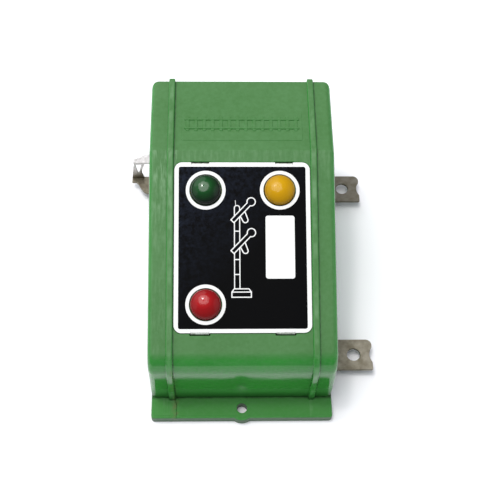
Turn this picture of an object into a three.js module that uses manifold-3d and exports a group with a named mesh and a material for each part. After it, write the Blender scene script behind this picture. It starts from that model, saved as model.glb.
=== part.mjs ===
// A desk-shaped push-button control box for a model railway semaphore signal.
// Millimetres, +Z up, +X to the right and +Y to the rear as the user sees it.
// The origin is the centre of the footprint, on the underside of the base plate.
import * as THREE from 'three';
import { mergeVertices } from 'three/addons/utils/BufferGeometryUtils.js';
import Module from 'manifold-3d';

const wasm = await Module();
wasm.setup();

// Housing
const bodyWidth = 44;
const bodyDepth = 69;
const frontHeight = 21.1; // where the front wall and the panel would meet without the round edge
const panelSlope = THREE.MathUtils.degToRad(20);
const creaseDepth = 48; // from the front wall to the crease between panel and rear top
const wall = 1.8;
const frontRadius = 5.6;
const rearRadius = 0.5;
const edgeRadius = 1.4;
const cornerRadius = 1.9; // of the two upright rear corners
const rib = { x: 16.95, width: 1.5, height: 0.7 };
const flange = { depth: 5.2, height: 2.5, corner: 0.8, bossRadius: 3.05 };
const fixingHole = { radius: 1.25, fromWall: 2.76 };

// Raised track on the rear top: two rails on a row of sleepers
const track = { y: 21.3, halfLength: 13.8, railOffset: 1.3, railHalfWidth: 0.25, railHeight: 0.3 };
const sleeper = { count: 14, pitch: 2, halfWidth: 0.4, halfLength: 2.1, height: 0.2 };

// Printed label plate on the panel
const plate = { width: 31.8, bottom: 8, top: 48.2, thickness: 0.4, corner: 1.8, recess: 0.5, margin: 0.2 };
const tongue = { x: 9.9, width: 4.2, reach: 2.9, slotReach: 0.7 };

// Push buttons, placed on the panel by their distance up the slope
const buttons = [
  { name: 'green', x: -8.6, s: 41.5, colour: 0x1d4a28 },
  { name: 'yellow', x: 8.8, s: 41.5, colour: 0xd9a520 },
  { name: 'red', x: -8.6, s: 14.5, colour: 0xa81c22 },
];
const capRadius = 3.5;
const stemRadius = 1.5;
const travel = 1.6;

// Contact board and what it carries
const board = { top: -12.5, thickness: 1.5, halfWidth: 15, front: 7, rear: 47, screwX: 6.5, screwS: 28 };
const contactOffset = 4.2; // from a button's axis to each of its two contact posts
const strip = { width: 2.2, thickness: 0.4 };
const bridge = { radius: 5, thickness: 0.4, top: -5.3 };

// Bus bars and the tabs in which they end
const busY = { front: -23.45, rear: 25.9 };
const tab = { width: 8.2, reach: 10.8, bottom: 2.5, thickness: 0.7, holeRadius: 1.65, holeReach: 6.1 };
const outputZ = 12;
const outputHole = { radius: 0.6, fromWall: 3.4 };
const outputReach = 4.9;
const joggle = 0.3; // by which every tab steps down just outside the wall

const gap = 0.3; // between pieces that touch
const baseThickness = 1.6;
const baseScrew = { x: 17.6, y: 30.5, headRadius: 1.4, shankRadius: 0.7 };
const boss = { x: 15.4, y: 28.7, top: 9 }; // the inner corner and top of each base screw's block

const frontY = -bodyDepth / 2;
const rearY = bodyDepth / 2;
const sideX = bodyWidth / 2;
const topZ = frontHeight + creaseDepth * Math.tan(panelSlope);
const boardBottom = board.top - board.thickness;
const stripTop = boardBottom - gap;

// The panel's own frame: x across, y up the slope from the front edge, z outwards.
const panelMatrix = new THREE.Matrix4()
  .makeTranslation(0, frontY, frontHeight)
  .multiply(new THREE.Matrix4().makeRotationX(panelSlope));

// ---- Solids ----

function toSolid(geometry) {
  const plain = geometry.index ? geometry.toNonIndexed() : geometry.clone();
  plain.deleteAttribute('normal');
  plain.deleteAttribute('uv');
  const merged = mergeVertices(plain, 1e-4);
  const vertProperties = merged.attributes.position.array;
  const triVerts = new Uint32Array(merged.index.array);
  return new wasm.Manifold(new wasm.Mesh({ numProp: 3, vertProperties, triVerts }));
}

function toGeometry(solid) {
  const { vertProperties, triVerts } = solid.getMesh();
  const geometry = new THREE.BufferGeometry();
  geometry.setAttribute('position', new THREE.BufferAttribute(vertProperties, 3));
  geometry.setIndex(new THREE.BufferAttribute(triVerts, 1));
  return geometry;
}

function join(geometries) {
  return toGeometry(geometries.map(toSolid).reduce((whole, piece) => whole.add(piece)));
}

function cut(geometry, tools) {
  return toGeometry(tools.map(toSolid).reduce((whole, tool) => whole.subtract(tool), toSolid(geometry)));
}

function common(first, second) {
  return toGeometry(toSolid(first).intersect(toSolid(second)));
}

function block(x0, x1, y0, y1, z0, z1) {
  return new THREE.BoxGeometry(x1 - x0, y1 - y0, z1 - z0)
    .translate((x0 + x1) / 2, (y0 + y1) / 2, (z0 + z1) / 2);
}

function cylinder(radius, x, y, z0, z1, segments = 20) {
  return new THREE.CylinderGeometry(radius, radius, z1 - z0, segments)
    .rotateX(Math.PI / 2)
    .translate(x, y, (z0 + z1) / 2);
}

// A body of revolution about a vertical axis from [radius, z] points that start and end on it.
function turned(points, segments = 20) {
  const profile = points.map(([r, z]) => new THREE.Vector2(r, z));
  return new THREE.LatheGeometry(profile, segments).rotateX(Math.PI / 2);
}

function extruded(shape, depth) {
  return new THREE.ExtrudeGeometry(shape, { depth, bevelEnabled: false, curveSegments: 6 });
}

// An outline drawn in (x, y), from z0 up to z1.
function alongZ(shape, z0, z1) {
  return extruded(shape, z1 - z0).translate(0, 0, z0);
}

// An outline drawn in (y, z), from x0 to x1.
function alongX(shape, x0, x1) {
  const axes = new THREE.Matrix4().makeBasis(
    new THREE.Vector3(0, 1, 0),
    new THREE.Vector3(0, 0, 1),
    new THREE.Vector3(1, 0, 0),
  );
  return extruded(shape, x1 - x0).applyMatrix4(axes).translate(x0, 0, 0);
}

// A closed skin through equal rings of [x, y, z] points, with flat ends.
function loft(rings) {
  const count = rings[0].length;
  const ends = THREE.ShapeUtils.triangulateShape(rings[0].map(([, y, z]) => new THREE.Vector2(y, z)), []);
  const last = (rings.length - 1) * count;
  const index = ends.flatMap(([a, b, c]) => [c, b, a, last + a, last + b, last + c]);
  for (let r = 0; r + 1 < rings.length; r += 1) {
    for (let i = 0; i < count; i += 1) {
      const a = r * count + i;
      const b = r * count + ((i + 1) % count);
      index.push(a, b, a + count, b, b + count, a + count);
    }
  }
  const geometry = new THREE.BufferGeometry();
  geometry.setAttribute('position', new THREE.Float32BufferAttribute(rings.flat(2), 3));
  return geometry.setIndex(index);
}

// An outline drawn in (x, z), from y0 to y1.
function alongY(shape, y0, y1) {
  return extruded(shape, y1 - y0).rotateX(Math.PI / 2).translate(0, y1, 0);
}

function onPanel(geometry) {
  return geometry.applyMatrix4(panelMatrix);
}

// ---- Outlines ----

function polygon(points) {
  return new THREE.Shape(points.map(([x, y]) => new THREE.Vector2(x, y)));
}

function roundedRectangle(x0, x1, y0, y1, r) {
  const shape = new THREE.Shape();
  shape.absarc(x1 - r, y0 + r, r, -Math.PI / 2, 0);
  shape.absarc(x1 - r, y1 - r, r, 0, Math.PI / 2);
  shape.absarc(x0 + r, y1 - r, r, Math.PI / 2, Math.PI);
  shape.absarc(x0 + r, y0 + r, r, Math.PI, 1.5 * Math.PI);
  return shape;
}

// The body's side outline in (y, z), moved outwards by `offset`, with its foot at floorZ.
function bodyShape(offset, floorZ, rearOffset = offset) {
  const front = frontY - offset;
  const rear = rearY + rearOffset;
  const top = topZ + offset;
  const frontR = frontRadius + offset;
  const rearR = Math.max(rearRadius + offset, 0.3);
  const halfTurn = Math.PI / 4 - panelSlope / 2;
  const edgeZ = frontHeight + offset * Math.tan(halfTurn);
  const shape = new THREE.Shape();
  shape.moveTo(rear, floorZ);
  shape.lineTo(front, floorZ);
  const centreZ = edgeZ - frontR * Math.tan(halfTurn);
  shape.absarc(front + frontR, centreZ, frontR, Math.PI, Math.PI / 2 + panelSlope, true);
  shape.lineTo(frontY + creaseDepth - offset * Math.tan(panelSlope / 2), top);
  shape.absarc(rear - rearR, top - rearR, rearR, Math.PI / 2, 0, true);
  return shape;
}

// A strip of sheet bent along a line of [a, b] points: the line is its middle.
function bentStrip(points, thickness) {
  const line = points.map(([a, b]) => new THREE.Vector2(a, b));
  const normals = line.slice(1).map((p, i) => {
    const run = p.clone().sub(line[i]).normalize();
    return new THREE.Vector2(-run.y, run.x);
  });
  const side = (sign) => line.map((p, i) => {
    const before = normals[Math.max(i - 1, 0)];
    const after = normals[Math.min(i, normals.length - 1)];
    const mitre = before.clone().add(after).normalize();
    return p.clone().addScaledVector(mitre, (sign * thickness) / 2 / mitre.dot(after));
  });
  return new THREE.Shape([...side(1), ...side(-1).reverse()]);
}

function panelPoint(s, n) {
  const p = new THREE.Vector3(0, s, n).applyMatrix4(panelMatrix);
  return [p.y, p.z];
}

// ---- Housing ----

function outerSkin() {
  const flangeEdge = rearY + flange.depth;
  const footprint = roundedRectangle(-sideX, sideX, -flangeEdge, flangeEdge, flange.corner);
  const foot = alongZ(footprint, 0, flange.height);
  const bosses = [-1, 1].map((end) =>
    cylinder(flange.bossRadius, 0, end * (rearY + fixingHole.fromWall), 0, flange.height, 32));
  const ribs = [-1, 1].map((side) => {
    const x = side * rib.x;
    return alongX(bodyShape(rib.height, flange.height / 2), x - rib.width / 2, x + rib.width / 2);
  });
  return join([roundedBody(), foot, ...bosses, ...ribs, ...trackRelief()]);
}

// The body's outline from side to side, drawn in towards both ends so that its edges are round.
function roundedBody() {
  const steps = 7;
  const half = [];
  for (let i = 0; i <= steps; i += 1) {
    const angle = (i / steps) * (Math.PI / 2);
    const x = sideX - cornerRadius * (1 - Math.sin(angle));
    const past = Math.max(x - sideX + edgeRadius, 0);
    const edge = edgeRadius - Math.sqrt(edgeRadius ** 2 - past ** 2);
    half.push([x, -edge, -cornerRadius * (1 - Math.cos(angle))]);
  }
  const stations = [...half.map(([x, ...offsets]) => [-x, ...offsets]).reverse(), ...half];
  return loft(stations.map(([x, offset, rearOffset]) =>
    bodyShape(offset, -1, rearOffset).getPoints(6).reverse().map(({ x: y, y: z }) => [x, y, z])));
}

// Two rails and their sleepers, raised a little from the flat rear top.
function trackRelief() {
  const sunk = topZ - 0.5;
  const rails = [-1, 1].map((side) => {
    const middle = track.y + side * track.railOffset;
    const y = [middle - track.railHalfWidth, middle + track.railHalfWidth];
    return block(-track.halfLength, track.halfLength, ...y, sunk, topZ + track.railHeight);
  });
  const sleepers = [];
  for (let i = 0; i < sleeper.count; i += 1) {
    const x = (i - (sleeper.count - 1) / 2) * sleeper.pitch;
    const y = [track.y - sleeper.halfLength, track.y + sleeper.halfLength];
    sleepers.push(block(x - sleeper.halfWidth, x + sleeper.halfWidth, ...y, sunk, topZ + sleeper.height));
  }
  return [...rails, ...sleepers];
}

// A block in each corner of the box, run into both walls, for the base screws.
function screwBosses() {
  const overlap = 0.4;
  const x = [boss.x, sideX - wall + overlap];
  const y = [boss.y, rearY - wall + overlap];
  const z = [baseThickness + gap, boss.top];
  return [
    block(x[0], x[1], y[0], y[1], ...z),
    block(-x[1], -x[0], y[0], y[1], ...z),
    block(x[0], x[1], -y[1], -y[0], ...z),
    block(-x[1], -x[0], -y[1], -y[0], ...z),
  ];
}

function boardPosts() {
  return [-1, 1].map((side) =>
    onPanel(cylinder(2.2, side * board.screwX, board.screwS, board.top + gap, -1)));
}

function panelCuts() {
  const half = plate.width / 2 + gap;
  const above = 2;
  const s = [plate.bottom - plate.margin, plate.top + plate.margin];
  const recess = onPanel(block(-half, half, ...s, -plate.recess, above));
  const holes = buttons.map((button) =>
    onPanel(cylinder(capRadius + 0.25, button.x, button.s, -6, above, 32)));
  const slots = [];
  for (const side of [-1, 1]) {
    const x0 = side * tongue.x - tongue.width / 2 - gap;
    const x1 = side * tongue.x + tongue.width / 2 + gap;
    for (const edge of [plate.bottom, plate.top]) {
      slots.push(onPanel(block(x0, x1, edge - tongue.slotReach, edge + tongue.slotReach, -4, above)));
    }
  }
  return [recess, ...holes, ...slots];
}

function wallSlots() {
  const z0 = tab.bottom - gap;
  const z1 = tab.bottom + tab.thickness + gap;
  const slots = Object.values(busY).map((y) =>
    block(-sideX - 2, sideX + 2, y - tab.width / 2 - gap, y + tab.width / 2 + gap, z0, z1));
  const middle = outputZ + joggle;
  const half = strip.thickness / 2 + gap;
  for (const x of outputX()) {
    const x0 = x - strip.width / 2 - gap;
    slots.push(block(x0, x0 + strip.width + 2 * gap, rearY - 4, rearY + 2, middle - half, middle + half));
  }
  return slots;
}

function screwHoles() {
  const fixings = [-1, 1].map((end) =>
    cylinder(fixingHole.radius, 0, end * (rearY + fixingHole.fromWall), -1, 5, 32));
  const bases = baseScrewPlaces().map(([x, y]) => cylinder(1, x, y, 0, 8));
  const posts = [-1, 1].map((side) =>
    onPanel(cylinder(1.1, side * board.screwX, board.screwS, board.top, -5)));
  return [...fixings, ...bases, ...posts];
}

function housing() {
  const inside = sideX - wall;
  const cavity = alongX(bodyShape(-wall, -1), -inside, inside);
  const below = block(-50, 50, -60, 60, -20, 0);
  const shell = cut(outerSkin(), [cavity, below]);
  const whole = join([shell, ...screwBosses(), ...boardPosts()]);
  return cut(whole, [...panelCuts(), ...wallSlots(), ...screwHoles()]);
}

// ---- Base ----

function baseScrewPlaces() {
  const ends = [-1, 1];
  return ends.flatMap((i) => ends.map((j) => [i * baseScrew.x, j * baseScrew.y]));
}

function basePlate() {
  const x = sideX - wall - gap;
  const y = rearY - wall - gap;
  const countersink = [[0, -0.1], [1.8, -0.1], [1, 0.9], [1, 3], [0, 3]];
  const sheet = block(-x, x, -y, y, 0, baseThickness);
  return cut(sheet, baseScrewPlaces().map(([px, py]) => turned(countersink).translate(px, py, 0)));
}

function countersunkScrew() {
  const { headRadius, shankRadius } = baseScrew;
  return turned([[0, 0.1], [headRadius, 0.1], [shankRadius, 0.8], [shankRadius, 6.4], [0, 7.2]], 16);
}

// ---- Panel pieces, in the panel's frame ----

function labelPlate() {
  const half = plate.width / 2;
  const top = plate.thickness - plate.recess + gap;
  const bottom = top - plate.thickness;
  const sheet = alongZ(roundedRectangle(-half, half, plate.bottom, plate.top, plate.corner), bottom, top);
  const tongues = [-1, 1].flatMap((side) => [plate.bottom, plate.top - plate.thickness].map((s) => {
    const x = side * tongue.x;
    return block(x - tongue.width / 2, x + tongue.width / 2, s, s + plate.thickness, -tongue.reach, top);
  }));
  const holes = buttons.map(({ x, s }) => cylinder(capRadius + 0.35, x, s, -5, 5, 32));
  return cut(join([sheet, ...tongues]), holes);
}

function button() {
  const rim = 0.9;
  const dome = 1.3;
  const crown = [];
  for (let i = 0; i <= 5; i += 1) {
    const angle = (i / 5) * (Math.PI / 2);
    crown.push([capRadius * Math.cos(angle), rim + dome * Math.sin(angle)]);
  }
  crown[crown.length - 1][0] = 0;
  const shoulder = bridge.top + gap;
  const tip = boardBottom - 2.2;
  const groove = { top: boardBottom, bottom: boardBottom - 1.1, radius: 1 };
  return turned([
    [0, tip],
    [stemRadius, tip],
    [stemRadius, groove.bottom],
    [groove.radius, groove.bottom],
    [groove.radius, groove.top],
    [stemRadius, groove.top],
    [stemRadius, shoulder],
    [2, shoulder],
    [2, -3.6],
    [capRadius, -3.6],
    ...crown,
  ], 24);
}

function ringShape(outer, inner) {
  const shape = new THREE.Shape().absarc(0, 0, outer, 0, 2 * Math.PI);
  shape.holes.push(new THREE.Path().absarc(0, 0, inner, 0, 2 * Math.PI));
  return shape;
}

function bridgeDisc() {
  return alongZ(ringShape(bridge.radius, stemRadius + gap), bridge.top - bridge.thickness, bridge.top);
}

// An open ring that snaps into the groove of a button's stem.
function retainingClip() {
  const opening = 0.5;
  const shape = new THREE.Shape();
  shape.absarc(0, 0, 2.6, opening, 2 * Math.PI - opening);
  shape.absarc(0, 0, 1.3, 2 * Math.PI - opening, opening, true);
  return alongZ(shape, boardBottom - gap - 0.5, boardBottom - gap);
}

class Helix extends THREE.Curve {
  constructor(radius, turns, z0, z1) {
    super();
    Object.assign(this, { radius, turns, z0, z1 });
  }

  getPoint(t, target = new THREE.Vector3()) {
    const angle = t * this.turns * 2 * Math.PI;
    const z = this.z0 + t * (this.z1 - this.z0);
    return target.set(this.radius * Math.cos(angle), this.radius * Math.sin(angle), z);
  }
}

function returnSpring() {
  const wire = 0.25;
  const turns = 5;
  const path = new Helix(2.2, turns, board.top + gap + wire, bridge.top - bridge.thickness - gap - wire);
  const section = polygon([0, 1, 2, 3, 4, 5].map((i) => {
    const angle = (i * Math.PI) / 3;
    return [wire * Math.cos(angle), wire * Math.sin(angle)];
  }));
  return new THREE.ExtrudeGeometry(section, { steps: turns * 12, extrudePath: path, bevelEnabled: false });
}

function contactBoard() {
  const { halfWidth, front, rear, top, screwX, screwS } = board;
  const sheet = block(-halfWidth, halfWidth, front, rear, boardBottom, top);
  const through = (radius, x, s) => cylinder(radius, x, s, boardBottom - 1, top + 1);
  const holes = [-1, 1].map((side) => through(1.1, side * screwX, screwS));
  for (const { x, s } of buttons) {
    holes.push(through(stemRadius + gap, x, s));
    holes.push(through(0.9, x - contactOffset, s));
    holes.push(through(0.9, x + contactOffset, s));
  }
  return cut(sheet, holes);
}

function boardScrew() {
  const head = stripTop;
  return turned([[0, head - 1.3], [1.8, head - 1.1], [1.8, head], [0.8, head], [0.8, -6.6], [0, -6]], 16);
}

function contactPost() {
  const top = bridge.top - bridge.thickness - travel - gap;
  const seat = board.top + gap;
  const tail = stripTop - strip.thickness - gap;
  return turned([
    [0, tail - 0.5],
    [1.2, tail - 0.5],
    [1.2, tail],
    [0.6, tail],
    [0.6, seat],
    [1.3, seat],
    [1.3, seat + 0.6],
    [0.9, seat + 0.6],
    [0.9, top - 0.4],
    [0, top],
  ], 12);
}

function stripHole(x, s) {
  return cylinder(0.9, x, s, stripTop - 2, stripTop + 2);
}

// A flat U under the board that joins one contact post of each button.
function commonStrip() {
  const half = strip.width / 2;
  const posts = buttons.map(({ x, s }) => [x + Math.sign(x) * contactOffset, s]);
  const left = posts[0][0];
  const right = posts[1][0];
  const front = board.front + 1.4;
  const rear = buttons[0].s + half;
  const shape = polygon([
    [left - half, front],
    [right + half, front],
    [right + half, rear],
    [right - half, rear],
    [right - half, front + strip.width],
    [left + half, front + strip.width],
    [left + half, rear],
    [left - half, rear],
  ]);
  return cut(alongZ(shape, stripTop - strip.thickness, stripTop), posts.map(([x, s]) => stripHole(x, s)));
}

// ---- Strips to the outside, in the part's frame ----

// The x of each strip that leaves through the rear wall: green, red, yellow, return.
function outputX() {
  return [buttons[0].x + contactOffset, 0.1, buttons[1].x - contactOffset, 14];
}

function tabHole(x) {
  return cylinder(outputHole.radius, x, rearY + outputHole.fromWall, outputZ - 2, outputZ + 2, 16);
}

// The end of every output strip: through the wall and down a small joggle to the solder tab.
function outputEnd() {
  const level = outputZ + joggle;
  return [[rearY + 0.6, level], [rearY + 1.2, outputZ], [rearY + outputReach, outputZ]];
}

// A strip bent along a line in (y, z), with the solder tab's hole.
function soldered(line, x) {
  const side = bentStrip(line, strip.thickness);
  return cut(alongX(side, x - strip.width / 2, x + strip.width / 2), [tabHole(x)]);
}

// A strip that starts under the board at startS, leaves the rear wall and ends as a solder tab.
function outputStrip(x, startS) {
  const middle = stripTop - strip.thickness / 2;
  const line = [
    panelPoint(startS, middle),
    panelPoint(48.5, middle),
    [29, outputZ + joggle],
    ...outputEnd(),
  ];
  return soldered(line, x);
}

function straightOutput(x, s) {
  return cut(outputStrip(x, s - 1.4), [onPanel(stripHole(x, s))]);
}

// The red button sits at the front, so its strip steps sideways and passes between the other two.
function redOutput(x, post, s) {
  const half = strip.width / 2;
  const z = [stripTop - strip.thickness, stripTop];
  const step = onPanel(block(post - half, x + half, s - half, s + half, ...z));
  return cut(join([outputStrip(x, s - half), step]), [onPanel(stripHole(post, s))]);
}

function returnStrip(x) {
  const foot = tab.bottom + tab.thickness + gap + strip.thickness / 2;
  const y = busY.rear + 2;
  const line = [[y - 4, foot], [y, foot], [y, outputZ + joggle], ...outputEnd()];
  return soldered(line, x);
}

// From the front bus bar up to the common strip's front arm.
function leadStrip() {
  const foot = tab.bottom + tab.thickness + gap + strip.thickness / 2;
  const y = -21.3;
  return alongX(bentStrip([[y - 3.2, foot], [y, foot], [y, 9.6]], strip.thickness), -1.2, 1.2);
}

// A bar across the box: its left end steps up, and its right end steps down to the tab outside.
function busBar(y) {
  const end = sideX + tab.reach;
  const start = -sideX + wall + 0.5;
  const flare = [18, 19.5]; // where the bar widens to the tab
  const wide = tab.width / 2;
  const narrow = 2.5;
  const notch = 2.1;
  const plan = new THREE.Shape();
  plan.moveTo(start, y - narrow);
  plan.lineTo(flare[0], y - narrow);
  plan.lineTo(flare[1], y - wide);
  plan.lineTo(end - 1, y - wide);
  plan.quadraticCurveTo(end, y - wide, end, y - wide + 1);
  plan.lineTo(end, y - notch);
  plan.quadraticCurveTo(end - 1.4, y, end, y + notch);
  plan.lineTo(end, y + wide - 1);
  plan.quadraticCurveTo(end, y + wide, end - 1, y + wide);
  plan.lineTo(flare[1], y + wide);
  plan.lineTo(flare[0], y + narrow);
  plan.lineTo(start, y + narrow);
  const hole = new THREE.Path().absarc(sideX + tab.holeReach, y, tab.holeRadius, 0, 2 * Math.PI, true);
  plan.holes.push(hole);
  const low = tab.bottom + tab.thickness / 2;
  const high = low + tab.thickness + gap;
  const line = [[-sideX, high], [-13.5, high], [-12, low], [sideX + 0.6, low], [sideX + 1.3, low - joggle],
    [end + 1, low - joggle]];
  return common(alongZ(plan, 0, 8), alongY(bentStrip(line, tab.thickness), y - 6, y + 6));
}

// Formed terminal on the left: a blade in the slot, a web with a window and a roof over it.
function feedClip() {
  const blade = new THREE.Shape();
  blade.moveTo(-15, 24.3);
  blade.lineTo(-24.6, 24.3);
  blade.bezierCurveTo(-27, 24.3, -27.2, 27.9, -28.4, 27.9);
  blade.lineTo(-29.3, 27.9);
  blade.lineTo(-29.3, 29.6);
  blade.lineTo(-22.4, 29.6);
  blade.lineTo(-22.4, 28.2);
  blade.lineTo(-15, 28.2);
  const web = polygon([[-29.3, 3], [-28.4, 10.3], [-25.3, 10.3], [-25.7, 3]]);
  web.holes.push(polygon([[-27.5, 5.7], [-27.1, 5.7], [-26.4, 9.4], [-28, 9.2]]));
  const roof = new THREE.Shape();
  roof.moveTo(-28.5, 29.2);
  roof.lineTo(-28.6, 30.3);
  roof.lineTo(-26.5, 31.1);
  roof.quadraticCurveTo(-25.9, 32, -24.4, 32);
  roof.lineTo(-22.5, 32);
  roof.lineTo(-22.5, 29.2);
  return join([
    alongZ(blade, tab.bottom, tab.bottom + tab.thickness),
    alongY(web, 29.1, 29.6),
    alongZ(roof, 10, 10.5),
  ]);
}

// ---- Assembly ----

const finishes = {
  greenPlastic: { color: 0x4f8f4a, roughness: 0.35, metalness: 0 },
  plateFinish: { color: 0x1a1b1f, roughness: 0.4, metalness: 0 },
  basePlastic: { color: 0x3a3a38, roughness: 0.6, metalness: 0 },
  nickel: { color: 0x857e70, roughness: 0.4, metalness: 0.9 },
  brass: { color: 0xb8954a, roughness: 0.35, metalness: 0.9 },
  steel: { color: 0x9a9c9e, roughness: 0.3, metalness: 0.9 },
  phenolic: { color: 0x7a5230, roughness: 0.6, metalness: 0 },
};

const box = new THREE.Group();
const panel = new THREE.Group();
panel.applyMatrix4(panelMatrix);
box.add(panel);

function place(group, name, geometry, finish, x = 0, y = 0) {
  const mesh = new THREE.Mesh(geometry, new THREE.MeshStandardMaterial(finish));
  mesh.name = name;
  mesh.position.set(x, y, 0);
  group.add(mesh);
}

place(box, 'housing', housing(), finishes.greenPlastic);
place(box, 'base_plate', basePlate(), finishes.basePlastic);
baseScrewPlaces().forEach(([x, y], i) => {
  place(box, `base_screw_${i + 1}`, countersunkScrew(), finishes.steel, x, y);
});

place(panel, 'label_plate', labelPlate(), finishes.plateFinish);
for (const { name, x, s, colour } of buttons) {
  place(panel, `${name}_button`, button(), { color: colour, roughness: 0.25, metalness: 0 }, x, s);
  place(panel, `${name}_bridge_disc`, bridgeDisc(), finishes.brass, x, s);
  place(panel, `${name}_retaining_clip`, retainingClip(), finishes.steel, x, s);
  place(panel, `${name}_return_spring`, returnSpring(), finishes.steel, x, s);
  place(panel, `${name}_contact_post_left`, contactPost(), finishes.brass, x - contactOffset, s);
  place(panel, `${name}_contact_post_right`, contactPost(), finishes.brass, x + contactOffset, s);
}
place(panel, 'contact_board', contactBoard(), finishes.phenolic);
place(panel, 'board_screw_left', boardScrew(), finishes.steel, -board.screwX, board.screwS);
place(panel, 'board_screw_right', boardScrew(), finishes.steel, board.screwX, board.screwS);
place(panel, 'common_strip', commonStrip(), finishes.brass);

const [greenX, redX, yellowX, returnX] = outputX();
place(box, 'green_output_strip', straightOutput(greenX, buttons[0].s), finishes.nickel);
place(box, 'yellow_output_strip', straightOutput(yellowX, buttons[1].s), finishes.nickel);
place(box, 'red_output_strip', redOutput(redX, buttons[2].x + contactOffset, buttons[2].s), finishes.nickel);
place(box, 'return_strip', returnStrip(returnX), finishes.nickel);
place(box, 'lead_strip', leadStrip(), finishes.brass);
place(box, 'front_bus_bar', busBar(busY.front), finishes.nickel);
place(box, 'rear_bus_bar', busBar(busY.rear), finishes.nickel);
place(box, 'feed_clip', feedClip(), finishes.nickel);

export default box;
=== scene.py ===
# A desk-shaped push-button control box for a model railway semaphore signal.
# Solids are built in millimetres, in the part's own frame, and become metres when they are finished.
import math

import bmesh
import bpy
from mathutils import Matrix, Vector
from mathutils.geometry import tessellate_polygon


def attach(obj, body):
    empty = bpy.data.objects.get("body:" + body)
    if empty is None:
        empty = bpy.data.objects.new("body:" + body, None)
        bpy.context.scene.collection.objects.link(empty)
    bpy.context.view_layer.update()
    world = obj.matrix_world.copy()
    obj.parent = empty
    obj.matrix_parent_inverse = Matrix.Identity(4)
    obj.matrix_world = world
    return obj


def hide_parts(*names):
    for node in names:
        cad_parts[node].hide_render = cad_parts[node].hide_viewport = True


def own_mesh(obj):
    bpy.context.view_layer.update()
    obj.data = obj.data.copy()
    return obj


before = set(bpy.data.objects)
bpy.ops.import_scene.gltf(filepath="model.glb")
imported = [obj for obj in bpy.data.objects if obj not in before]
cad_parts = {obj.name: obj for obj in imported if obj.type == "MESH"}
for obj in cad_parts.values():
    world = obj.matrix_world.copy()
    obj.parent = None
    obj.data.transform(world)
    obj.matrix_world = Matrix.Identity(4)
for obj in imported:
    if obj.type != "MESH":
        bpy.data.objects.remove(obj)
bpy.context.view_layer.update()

MM = 0.001
scene = bpy.context.scene

# Housing
SIDE_X = 22.0
HALF_DEPTH = 34.5
FRONT_HEIGHT = 21.1
SLOPE = math.radians(20)
CREASE_Y = 13.5
TOP_Z = FRONT_HEIGHT + (CREASE_Y + HALF_DEPTH) * math.tan(SLOPE)
WALL = 1.8
FRONT_RADIUS = 5.6
CREASE_RADIUS = 0.7
REAR_RADIUS = 0.5
SIDE_RADIUS = 1.4
CORNER_RADIUS = 1.9  # of the upright rear corners
RIB_X, RIB_WIDTH, RIB_HEIGHT = 16.95, 1.5, 0.7
FLANGE_DEPTH, FLANGE_HEIGHT, FLANGE_CORNER = 5.2, 2.5, 0.8
BOSS_RADIUS = 3.045
FIXING_RADIUS, FIXING_Y = 1.25, HALF_DEPTH + 2.76

# Label plate, buttons and springs, in the panel's frame: x across, y up the slope, z outwards
PLATE_X, PLATE_LOW, PLATE_HIGH, PLATE_CORNER = 15.95, 7.95, 48.2, 1.8
PLATE_TOP, PLATE_BOTTOM = 0.2, -0.2
TONGUE_X, TONGUE_WIDTH, TONGUE_REACH = 9.9, 4.2, 2.9
TONGUE_EDGES = ((PLATE_LOW - 0.35, -1), (PLATE_HIGH, 1))  # the lower tongues stick out a little
RING_RADIUS, BUTTON_HOLE_RADIUS = 4.68, 3.68
BUTTONS = {"green": (-8.6, 41.5), "yellow": (8.8, 41.5), "red": (-8.6, 14.5)}
CAP_RADIUS = 3.55
TRAVEL = 1.6
BOARD_TOP, BOARD_BOTTOM = -12.5, -14.0
BRIDGE_TOP, BRIDGE_BOTTOM = -5.3, -5.7
POST_OFFSET = 4.2
BOARD_SCREWS = {"left": (-6.5, 28), "right": (6.5, 28)}
GAP = 0.3

# Bars, tabs and the base
BAR_Y = {"front": -23.45, "rear": 25.9}
TAB_WIDTH, TAB_BOTTOM, TAB_THICKNESS, TAB_END = 8.2, 2.5, 0.7, 32.8
TAB_HOLE_X, TAB_HOLE_RADIUS = SIDE_X + 6.1, 1.65
STRIP_WIDTH, STRIP_THICKNESS = 2.2, 0.4
OUTPUT_X = (-4.4, 0.1, 4.6, 14.0)
OUTPUT_Z = 12.0
JOGGLE = 0.3  # by which every tab steps down just outside the wall
BASE_THICKNESS = 1.6
BASE_SCREWS = [(x, y) for x in (-17.6, 17.6) for y in (-30.5, 30.5)]
BLOCK_X, BLOCK_Y, BLOCK_TOP = 15.4, 28.7, 9  # the inner sides and the top of the block over each base screw

PANEL = Matrix.Translation((0, -HALF_DEPTH, FRONT_HEIGHT)) @ Matrix.Rotation(SLOPE, 4, "X")


# ---- Outlines ----

def arc(x, y, radius, start, end, steps):
    """Points round (x, y) from one angle to another, in degrees."""
    angles = [math.radians(start + (end - start) * i / steps) for i in range(steps + 1)]
    return [(x + radius * math.cos(a), y + radius * math.sin(a)) for a in angles]


def rounded(x0, x1, y0, y1, radius, steps=8):
    """A function that gives a rounded rectangle's points for an inset."""
    def outline(inset=0.0):
        r = max(radius - inset, 0.02)
        left, right = x0 + inset + r, x1 - inset - r
        low, high = y0 + inset + r, y1 - inset - r
        return (arc(right, low, r, -90, 0, steps) + arc(right, high, r, 0, 90, steps)
                + arc(left, high, r, 90, 180, steps) + arc(left, low, r, 180, 270, steps))
    return outline


def circle(x, y, radius, steps=64):
    """A function that gives a circle's points for an inset."""
    return lambda inset=0.0: arc(x, y, radius - inset, 0, 360 - 360 / steps, steps - 1)


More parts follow.
